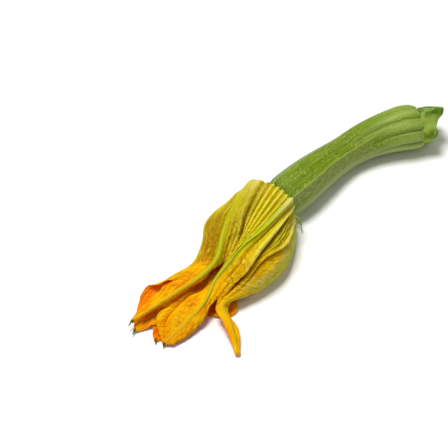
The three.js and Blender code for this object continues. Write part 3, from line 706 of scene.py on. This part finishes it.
def vein_phase(k, sign, along, distance):
    """Counts the side veins and, as the second value, the finer lines between them. Veins slant forward
    from the midrib, bend to the tip and wander a little. The finer lines slant more."""
    wander = 0.4 * ripple(60 + 10 * k + sign, 1, along / 14, distance / 14)
    wander = wander + 0.16 * ripple(70 + 10 * k + sign, 1, along / 4, distance / 4)
    drift = 0.5 * ripple(80 + 10 * k + sign, 1, along / 11, distance / 11)
    vein = (along - 0.5 * distance - 0.018 * distance**2) / VEIN_SPACING + wander
    fork = (along - 1.5 * distance + 6) / FORK_SPACING + drift
    return vein, fork


def petal_relief(k, sign, s, across, distance, vein):
    """Waves and frills on the free margin, cushions that rise between the side veins as |sin|^0.7 of the
    vein count, and small puckers."""
    free = smooth((s - SEAM_ENDS[seam_beside(k, sign)]) / 0.15)[:, None] * across[None] ** 2
    wave = free * np.sin(2 * np.pi * (7 * s + 0.3 * k + 0.4 * sign))[:, None]
    frill = free * across[None] ** 2 * ripple(10 * k + sign + 1, 16, s[:, None], 0 * across[None])
    off_rib = np.minimum(np.maximum(distance - 1.2, 0) / 3, 1)
    patchy = 0.6 + 0.4 * ripple(90 + 10 * k + sign, 3, s[:, None] * 3, across[None])
    past_base = smooth((s - 0.16) / 0.25)[:, None]
    cushion = off_rib * patchy * past_base * np.abs(np.sin(np.pi * vein)) ** 0.7
    pucker = off_rib * ripple(40 + 10 * k + sign, 9, s[:, None] * 3, across[None] * 0.5)
    return WAVE_HEIGHT * wave + FRILL_HEIGHT * frill + CUSHION_HEIGHT * cushion + PUCKER_HEIGHT * pucker


def sheet_normals(points, quads):
    """Vertex normals: the sum of the cross products of the diagonals of the quads at each vertex."""
    a, b, c, d = (points[quads[:, n]] for n in range(4))
    cross = np.cross(c - a, d - b)
    total = np.zeros_like(points)
    for n in range(4):
        np.add.at(total, quads[:, n], cross)
    return unit(total)


class PetalPaint(Paint):
    """The petals' paint. across and along are mm from the midrib and from the calyx, number is the petal's
    own, rib counts widths of the midrib, s goes from 0 at the calyx to 1 at the tip, and edge is above 0 on
    ridges and below 0 in creases. Petal 0 is the upper one, 1 the front, 2 the curled and 4 the back one."""

    def __init__(self):
        super().__init__("petal", IOR=1.38, Specular_IOR_Level=0.05)
        self.shader.inputs["Subsurface Weight"].default_value = 0.6
        self.shader.inputs["Subsurface Scale"].default_value = 0.001
        self.shader.inputs["Subsurface Radius"].default_value = (1.6, 0.9, 0.1)
        where = self.place()
        self.across, along, self.number = self.axes(self.field("petal", "Vector"))
        self.vein, self.fork, self.edge = self.axes(self.field("veins", "Vector"))
        self.rib, self.s = self.field("rib"), self.field("along")
        self.height = self.field("height")
        self.patch = self.noise(where, 70)
        self.cloud = self.noise(where, 260, 3.0, 0.6)
        self.fleck = self.noise(where, 520)
        self.breaks = self.noise(where, 110)
        streaks = self.vector(self.across * 0.55, along * 0.11, self.number * 9)
        self.crinkle = self.noise(streaks, 1.0, 4.0, 0.6, 0.3)
        self.wide = self.across.absolute()
        self.upper = self.number.above(0.5, 0.2)
        self.front = self.number.above(0.6, 0.9) * self.number.above(1.4, 1.1)
        self.curled = self.number.above(1.6, 1.9) * self.number.above(2.4, 2.1)
        # Painted shade over the far half of the upper petal and over the whole back petal.
        in_shade = self.number.above(0.3, 0.05) * self.across.above(0.2, -0.2)
        self.painted_shade = self.number.above(3.4, 3.9) + in_shade
        self.lines = self.vein_lines()

    def vein_lines(self):
        """Thin broken lines where the vein counts pass a whole number, off the midrib and the base."""
        vein = (self.vein.fraction() - 0.5).absolute().above(0.44, 0.5) * self.breaks.above(0.42, 0.58)
        fork = (self.fork.fraction() - 0.5).absolute().above(0.46, 0.5) * self.breaks.above(0.56, 0.44)
        fork = fork * self.wide.above(4.0, 7.0)
        past_base = (self.s + self.upper * 0.08).above(0.2, 0.42)
        return (vein + fork * 0.6) * self.wide.above(1.0, 3.0) * past_base

    def joined_part(self):
        """Greenish yellow of the pleated part, with painted shade in its folds and painted highlights on its
        ridges and on raised parts near the calyx.
        """
        # Painted shade: darker where the folds sink.
        color = self.mix(self.height.above(-1.6, -0.3), tone(146, 126, 0), tone(210, 188, 6))
        color = self.mix(self.patch.above(0.35, 0.65) * 0.4, color, tone(210, 192, 26))
        # Painted highlight on the ridges.
        color = self.mix((self.edge + self.cloud * 0.5).above(0.7, 1.3) * 0.65, color, tone(232, 220, 104))
        olive = self.mix(self.crinkle.above(0.4, 0.6), tone(150, 132, 26), tone(180, 162, 44))
        color = self.mix(self.upper * 0.6, color, olive)
        # Painted highlight on the raised parts near the calyx.
        calyx_highlight = (self.height + self.cloud).above(-0.2, 0.5) * self.s.above(0.22, 0.06)
        return self.mix(calyx_highlight * 0.8, color, tone(236, 228, 140))

    def golden_part(self):
        """Golden yellow past the pleats, with painted shade in folds, painted highlights on ridges, and
        painted shade over the back petal and the far half of the upper one.
        """
        color = self.mix(self.patch.above(0.38, 0.66), tone(214, 166, 0), tone(232, 190, 6))
        # Painted shade in the folds, painted highlight on the ridges, and painted shade over the back petal
        # and the upper petal's far half.
        color = self.mix(self.height.above(-0.4, -2.0) * 0.6, color, tone(170, 126, 0))
        color = self.mix(self.edge.above(0.4, 1.8) * 0.5, color, tone(226, 206, 70))
        return self.mix(self.painted_shade * 0.8, color, tone(156, 120, 0))

    def orange_part(self):
        """Orange of the free part."""
        color = self.mix(self.number.above(-0.4, 2.4), tone(238, 142, 0), tone(240, 176, 0))
        return self.mix(self.patch.above(0.4, 0.62) * 0.7, color, tone(255, 188, 0))

    def ground(self):
        """The three parts' colours from the calyx to the tip, with painted shade over the middle of the back
        petal and of the upper petal's far half, and crinkles past the base painted darker and lighter as
        painted shade and light.
        """
        s = self.s
        to_golden = (s + self.patch * 0.2 + self.curled * 0.12).above(0.42, 0.6)
        color = self.mix(to_golden, self.joined_part(), self.golden_part())
        # Painted shade over the middle of the back petal and the upper petal's far half.
        shaded_middle = self.painted_shade * 0.8 * s.above(0.24, 0.36) * s.above(0.72, 0.56)
        color = self.mix(shaded_middle, color, tone(150, 118, 0))
        color = self.mix((s + self.patch * 0.2).above(0.6, 0.78), color, self.orange_part())
        # Crinkles painted darker and lighter: painted shade and light on small folds.
        color = self.mix(self.crinkle.above(0.5, 0.34) * 0.35 * s.above(0.2, 0.5), color, tone(220, 118, 0))
        return self.mix(self.crinkle.above(0.52, 0.66) * 0.5 * s.above(0.2, 0.5), color, tone(255, 208, 20))

    def relief_marks(self, color):
        """Painted highlights on the cushions between the veins and on flecks, painted shade in creases, the
        curled petal's edges painted as lit, and its pale cheek by the midrib, painted lighter with a whitish
        sheen.
        """
        s = self.s
        # Painted highlights on the cushions and on flecks, weaker under the painted shade.
        cushion = (self.vein.fraction() - 0.5).absolute().above(0.36, 0.12) * self.breaks.above(0.44, 0.6)
        cushion = cushion * self.wide.above(2.0, 4.0) * s.above(0.34, 0.46) * s.above(0.7, 0.58)
        pale = cushion * 0.5 + self.fleck.above(0.55, 0.72) * self.breaks.above(0.5, 0.62) * 0.3
        color = self.mix(pale * (0.9 - self.painted_shade * 0.7), color, tone(232, 206, 84))
        # Painted shade in the creases.
        crease = self.mix(s.above(0.16, 0.42), tone(120, 100, 0), tone(164, 56, 0))
        color = self.mix(self.edge.above(-0.5, -2.2) * 0.9, color, crease)
        lit = self.curled * self.edge.above(-0.8, 0.0) * s.above(0.3, 0.4) * s.above(0.7, 0.6)
        color = self.mix(lit * 0.45, color, tone(238, 190, 10))
        # The curled petal's pale cheek, painted lighter with a whitish sheen.
        cheek = self.curled * self.across.above(0.5, -0.5) * self.rib.above(4.6, 1.8) * s.above(0.62, 0.48)
        cheek_sheen_green = self.mix(self.cloud.above(0.4, 0.65), tone(186, 188, 70), tone(214, 210, 120))
        return self.mix(cheek * 0.8, color, cheek_sheen_green)

    def midrib(self, color):
        """Green midrib in a wide yellow green tint, pale at the calyx, with painted highlights along its
        middle and its edges, and a green point at the tip.
        """
        s, rib = self.s, self.rib
        color = self.mix(rib.above(3.0, 0.9) * s.above(0.8, 0.4) * 0.45, color, tone(184, 178, 4))
        green = self.mix(s.above(0.03, 0.26), tone(236, 230, 160), tone(172, 176, 8))
        green = self.mix(s.above(0.4, 0.8), green, tone(196, 174, 0))
        # Painted highlights along the middle and the edges of the midrib.
        green = self.mix(rib.above(0.45, 0.05) * 0.45, green, tone(206, 206, 60))
        green = self.mix((rib - 0.95).absolute().above(0.35, 0.1) * 0.6, green, tone(216, 208, 76))
        green = self.mix(s.above(0.98, 0.998), green, tone(74, 92, 8))
        weaker = (1 - s.above(0.5, 1.3) * 0.6) * (1 - self.upper * s.above(0.42, 0.26) * 0.65)
        band = (rib + self.cloud * 0.8).above(1.7, 0.9) * weaker
        tip = s.above(0.98, 0.998) * (1 - self.curled)
        return self.mix((band + tip) * (1 - s.above(0.96, 0.99) * (1 - tip)), color, green)

    def veins_and_margin(self, color):
        """Brown veins, strongest on one side of the front petal, and a darker margin."""
        strong = self.front * self.across.above(0.5, 2.0) * self.s.above(0.38, 0.46)
        color = self.mix(self.lines * (0.42 + strong * 0.5), color, tone(160, 86, 0))
        return self.mix(self.field("margin").above(0.8, 0.15) * 0.55, color, tone(188, 84, 0))

    def inner_face(self):
        """Deep orange inside of the flower, with faint veins, random lighter patches, and the back petal's
        inside painted lighter, as painted light shining through it.
        """
        # Painted light: the back petal's inside is made lighter, as if lit through the petal; the patches are
        # random.
        light = self.patch.above(0.4, 0.7) * 0.7 + self.number.above(3.4, 3.8) * 0.3
        color = self.mix(light, tone(255, 124, 0), tone(255, 178, 12))
        return self.mix(self.lines * 0.3, color, tone(216, 92, 0))


def petal_paint():
    paint = PetalPaint()
    outer = paint.veins_and_margin(paint.midrib(paint.relief_marks(paint.ground())))
    color = paint.mix(paint.field("inside").above(0.3, 0.7), outer, paint.inner_face())
    bumps = paint.cloud * 0.2 + (1 - paint.lines) * 0.3 + paint.fleck * 0.1 + paint.crinkle * 0.9
    return paint.finish(color, 0.46 + paint.cloud * 0.2, bumps, 0.0012)


def petal_grid(k, s, across):
    """Grid of one petal from margin to margin: its middle surface, the height of its relief, and its fields
    for the paint, the last of which is the height of the pleats and folds alone."""
    rib = midribs(s)[k]
    along = np.concatenate([[0], np.cumsum(length(np.diff(rib, axis=0))[:, 0])])[:, None]
    halves = []
    for sign in (-1, 1):
        seam = seam_beside(k, sign)
        surface = half_petal(k, sign, s, across)
        distance = length(surface - rib[:, None])[..., 0]
        widths = distance / (spline(MIDRIB_WIDTH, s)[:, None] * MIDRIB_BREADTH[k])
        midrib = spline(MIDRIB_HEIGHT, s)[:, None] * np.exp(-(widths**2.5))
        w = np.broadcast_to((across / 2 if sign > 0 else 1 - across / 2)[None], distance.shape)
        folds, edge = seam_relief(seam, s, w)
        vein, fork = vein_phase(k, sign, along + 0 * distance, distance)
        relief = midrib + folds + petal_relief(k, sign, s, across, distance, vein)
        free = (s > SEAM_ENDS[seam])[:, None]
        margin = np.where(free, distance[:, -1:] - distance, INNER_MARGIN)
        layers = [sign * distance, along, float(k), vein, fork, edge, margin, s[:, None], widths, folds]
        halves.append((surface, relief, np.stack(np.broadcast_arrays(*layers), -1)))
    return [np.concatenate([first[:, ::-1], second[:, 1:]], 1) for first, second in zip(*halves)]


def petal_sheet(rows, columns):
    """Middle surface of the flower as one sheet: the petals' grids, joined along their seams, with the relief
    laid on along the normals and whatever would sink into the floor eased to just above it."""
    s = np.linspace(0, 1, rows + 1)
    across = np.linspace(0, 1, columns + 1)
    points, heights, fields, grids = [], [], [], []
    count = 0
    for k in range(5):
        surface, relief, layers = petal_grid(k, s, across)
        points.append(surface.reshape(-1, 3))
        heights.append(relief.ravel())
        fields.append(layers.reshape(-1, layers.shape[-1]))
        grids.append(count + np.arange(relief.size).reshape(relief.shape))
        count += relief.size
    for k in range(5):
        held = s <= SEAM_ENDS[k] + 1e-9
        grids[(k + 1) % 5][held, 0] = grids[k][held, -1]
    used, quads = np.unique(np.concatenate([grid_faces(ids) for ids in grids]), return_inverse=True)
    quads = quads.reshape(-1, 4)
    points, heights, fields = (np.concatenate(parts)[used] for parts in (points, heights, fields))
    points = points + heights[:, None] * sheet_normals(points, quads)
    points[:, 2] = FLOOR_GAP + FLOOR_EASE * np.logaddexp(0, (points[:, 2] - FLOOR_GAP) / FLOOR_EASE)
    return points, quads, fields


# Thin green points at the petals' tips
AWN_RADIUS = 0.75
AWNS = [
    [(-120.5, 9.2, 6.6), (-122.6, 8.7, 5.6), (-124.6, 8.2, 4.4)],
    [(-121.6, 5.4, 2.4), (-123.4, 4.4, 2.2), (-125.2, 3.2, 1.6)],
    [(-115.8, -7.4, 1.6), (-117, -8.8, 1.5), (-118, -10, 1.2)],
    [(-113.6, -13.2, 2.4), (-114.8, -14, 2.1), (-116, -14.8, 1.4)],
]


def awn(route):
    """One point at a petal's tip: round, its radius falling along the route."""
    t = np.linspace(0, 1, 16)
    course = spline(route, t)
    way = unit(spline_way(route, t, 0.01))
    side = unit(np.cross(way, UPWARD))
    radius = AWN_RADIUS * (1 - 0.7 * t)
    return tube(course, side, np.cross(side, way), radius, radius, 10)


def thickened(points, quads, half):
    """Closed body round a sheet: the sheet moved out and in by `half`, with walls along its rims."""
    shift = half[:, None] * sheet_normals(points, quads)
    number = len(points)
    edges = np.stack([quads, np.roll(quads, -1, 1)], -1).reshape(-1, 2)
    code, back = edges[:, 0] * number + edges[:, 1], edges[:, 1] * number + edges[:, 0]
    rim = edges[~np.isin(back, code)]
    walls = np.stack([rim[:, 1], rim[:, 0], rim[:, 0] + number, rim[:, 1] + number], -1)
    faces = np.concatenate([quads, quads[:, ::-1] + number, walls])
    return np.concatenate([points + shift, points - shift]), faces


def add_corolla():
    points, quads, fields = petal_sheet(int(180 * FINE), int(26 * FINE))
    half = (RIM_THICKNESS + (PETAL_THICKNESS - RIM_THICKNESS) * smooth(fields[:, 6] / RIM_WIDTH)) / 2
    both, faces = thickened(points, quads, half)
    inside = np.repeat([0.0, 1.0], len(points))
    fields = np.concatenate([fields, fields])
    named = {"petal": fields[:, :3], "veins": fields[:, 3:6], "margin": fields[:, 6], "along": fields[:, 7],
             "rib": fields[:, 8], "height": fields[:, 9], "inside": inside}
    faces, triangles = turned_out(both, faces, np.zeros((0, 3), int))
    for route in AWNS:
        body, sides, ends = awn(route)
        faces = np.concatenate([faces, sides + len(both)])
        triangles = np.concatenate([triangles, ends + len(both)])
        both = np.concatenate([both, body])
        at_tip = {"along": np.ones(len(body)), "margin": np.full(len(body), INNER_MARGIN)}
        for key, values in named.items():
            blank = np.zeros((len(body), *values.shape[1:]))
            named[key] = np.concatenate([values, at_tip.get(key, blank)])
    piece("petals", both, faces, triangles, petal_paint(), "corolla", named)


# Calyx and pistil

CALYX_RADIUS = 10.2
CALYX_BACK, CALYX_FRONT = 0.35, 2.6
SEPAL_ANGLES = np.radians([-14, 158, 228, 286])
SEPAL_REACH = [18, 16, 16, 18]
SEPAL_BACK = [0.5, 0, 0, 0.5]
SEPAL_FLOOR_GAP = 1.1
SEPAL_HALF_WIDTH, SEPAL_HALF_DEPTH = 1.6, 0.5
LONG_SEPAL = [
    (0.9, 16.8, 8.5), (3, 13.8, 8.4), (5, 11, 8.2), (5.4, 8.6, 6.6), (4.9, 6.6, 4.6), (3.7, 4.7, 2.6),
]
LONG_SEPAL_WIDE = [0.3, -0.5, 1.0]


def sepal_route(angle, reach, back):
    """Route of a short sepal: out along the fruit's end, bent to it by `back`, and curled to the flower."""
    outer = CALYX_RADIUS + np.array([0.16, 0.43, 0.72, 0.93]) * (reach - CALYX_RADIUS)
    turn = angle + np.radians([0, 0, 0, 1, 4, 8])
    ahead = np.array([1.3, 0.9, 0.8, 0.8, 1.2, 3.2]) - back * np.array([0, 0.35, 1.1, 1.4, 1, 0.1])
    route = at_blossom(ahead, np.array([8.2, *outer, reach]), turn)
    route[:, 2] = np.maximum(route[:, 2], SEPAL_FLOOR_GAP)
    return route


def sepal(route, wide):
    """Ribbon with an oval section along a route, narrowing to a point."""
    t = np.linspace(0, 1, 40)
    course = spline(route, t)
    way = unit(spline_way(route, t, 0.01))
    wide = unit(wide - (wide * way).sum(-1, keepdims=True) * way)
    half_width = SEPAL_HALF_WIDTH * (1 - 0.88 * t**1.4)
    half_depth = SEPAL_HALF_DEPTH * (1 - 0.6 * t**2)
    return tube(course, wide, np.cross(way, wide), half_width, half_depth, 16)


def add_bodies(name, bodies, material, node):
    """Several closed bodies as one mesh."""
    starts = np.cumsum([0] + [len(b[0]) for b in bodies])
    points = np.concatenate([b[0] for b in bodies])
    quads = np.concatenate([b[1] + n for b, n in zip(bodies, starts)])
    triangles = np.concatenate([b[2] + n for b, n in zip(bodies, starts)])
    piece(name, points, quads, triangles, material, node, {})


def sepal_paint():
    paint = Paint("sepal", IOR=1.4)
    grain = paint.noise(paint.place(), 420, 3.0)
    color = paint.mix(grain.above(0.35, 0.7), tone(126, 162, 42), tone(168, 196, 84))
    return paint.finish(color, 0.5 + grain * 0.2, grain, 0.0003)


def add_calyx():
    """A disc with rounded rims between fruit and flower, four short sepals and the long one."""
    ahead = np.array([CALYX_BACK, CALYX_BACK, 0.5, 0.85, 2.1, 2.45, CALYX_FRONT, CALYX_FRONT])
    radius = CALYX_RADIUS * np.array([0.5, 0.93, 0.98, 1, 1, 0.98, 0.93, 0.5])
    bodies = [turned_body(ahead, radius, 90)]
    for turn, reach, back in zip(SEPAL_ANGLES, SEPAL_REACH, SEPAL_BACK):
        wide = np.cross(BACK, around(BACK, np.array(turn)))
        bodies.append(sepal(sepal_route(turn, reach, back), wide))
    bodies.append(sepal(np.array(LONG_SEPAL), np.array(LONG_SEPAL_WIDE)))
    add_bodies("sepals", bodies, sepal_paint(), "calyx")


PISTIL_BASE = 2.95
STYLE_LENGTH, STYLE_RADIUS = 9.0, 3.4
STIGMA_AHEAD, STIGMA_OUT = 2.4, 3.6
STIGMA_HALF_LENGTH, STIGMA_RADIUS = 4.0, 3.0


def pistil_paint():
    paint = Paint("stigma", IOR=1.4)
    grain = paint.noise(paint.place(), 700, 3.0)
    color = paint.mix(grain.above(0.35, 0.7), tone(226, 150, 24), tone(246, 190, 70))
    return paint.finish(color, 0.55 + grain * 0.2, grain, 0.0005)


def stigma_lobe(turn):
    """One half of a double lobe: an egg shape with five faint ribs."""
    angle = even_angles(40)
    middle = at_blossom(PISTIL_BASE + STYLE_LENGTH + STIGMA_AHEAD, STIGMA_OUT, turn)
    down = np.pi * np.linspace(0.04, 0.96, 14)[:, None]
    ribs = 1 + 0.05 * np.cos(5 * angle[None]) * np.sin(down)
    along = STIGMA_HALF_LENGTH * np.cos(down) * np.ones(len(angle))
    out = STIGMA_RADIUS * np.sin(down) * ribs
    rings = middle + along[..., None] * BACK + out[..., None] * around(BACK, angle)
    return body_of_rings(rings, middle + STIGMA_HALF_LENGTH * BACK, middle - STIGMA_HALF_LENGTH * BACK)


def add_pistil():
    """A stout style with three double lobes at its end."""
    ahead = PISTIL_BASE + np.array([0, 0.2, 0.6, 2, 4.5, 7, 8.6, STYLE_LENGTH])
    radius = STYLE_RADIUS * np.array([0.7, 0.92, 1, 0.93, 0.85, 0.87, 0.9, 0.7])
    bodies = [turned_body(ahead, radius, 40)]
    for pair in range(3):
        for offset in (-0.16, 0.16):
            bodies.append(stigma_lobe(math.radians(120 * (pair + offset))))
    add_bodies("stigmas", bodies, pistil_paint(), "pistil")


add_camera()
add_floor()
add_room()
add_window()
add_fruit()
add_stalk()
add_corolla()
add_calyx()
add_pistil()
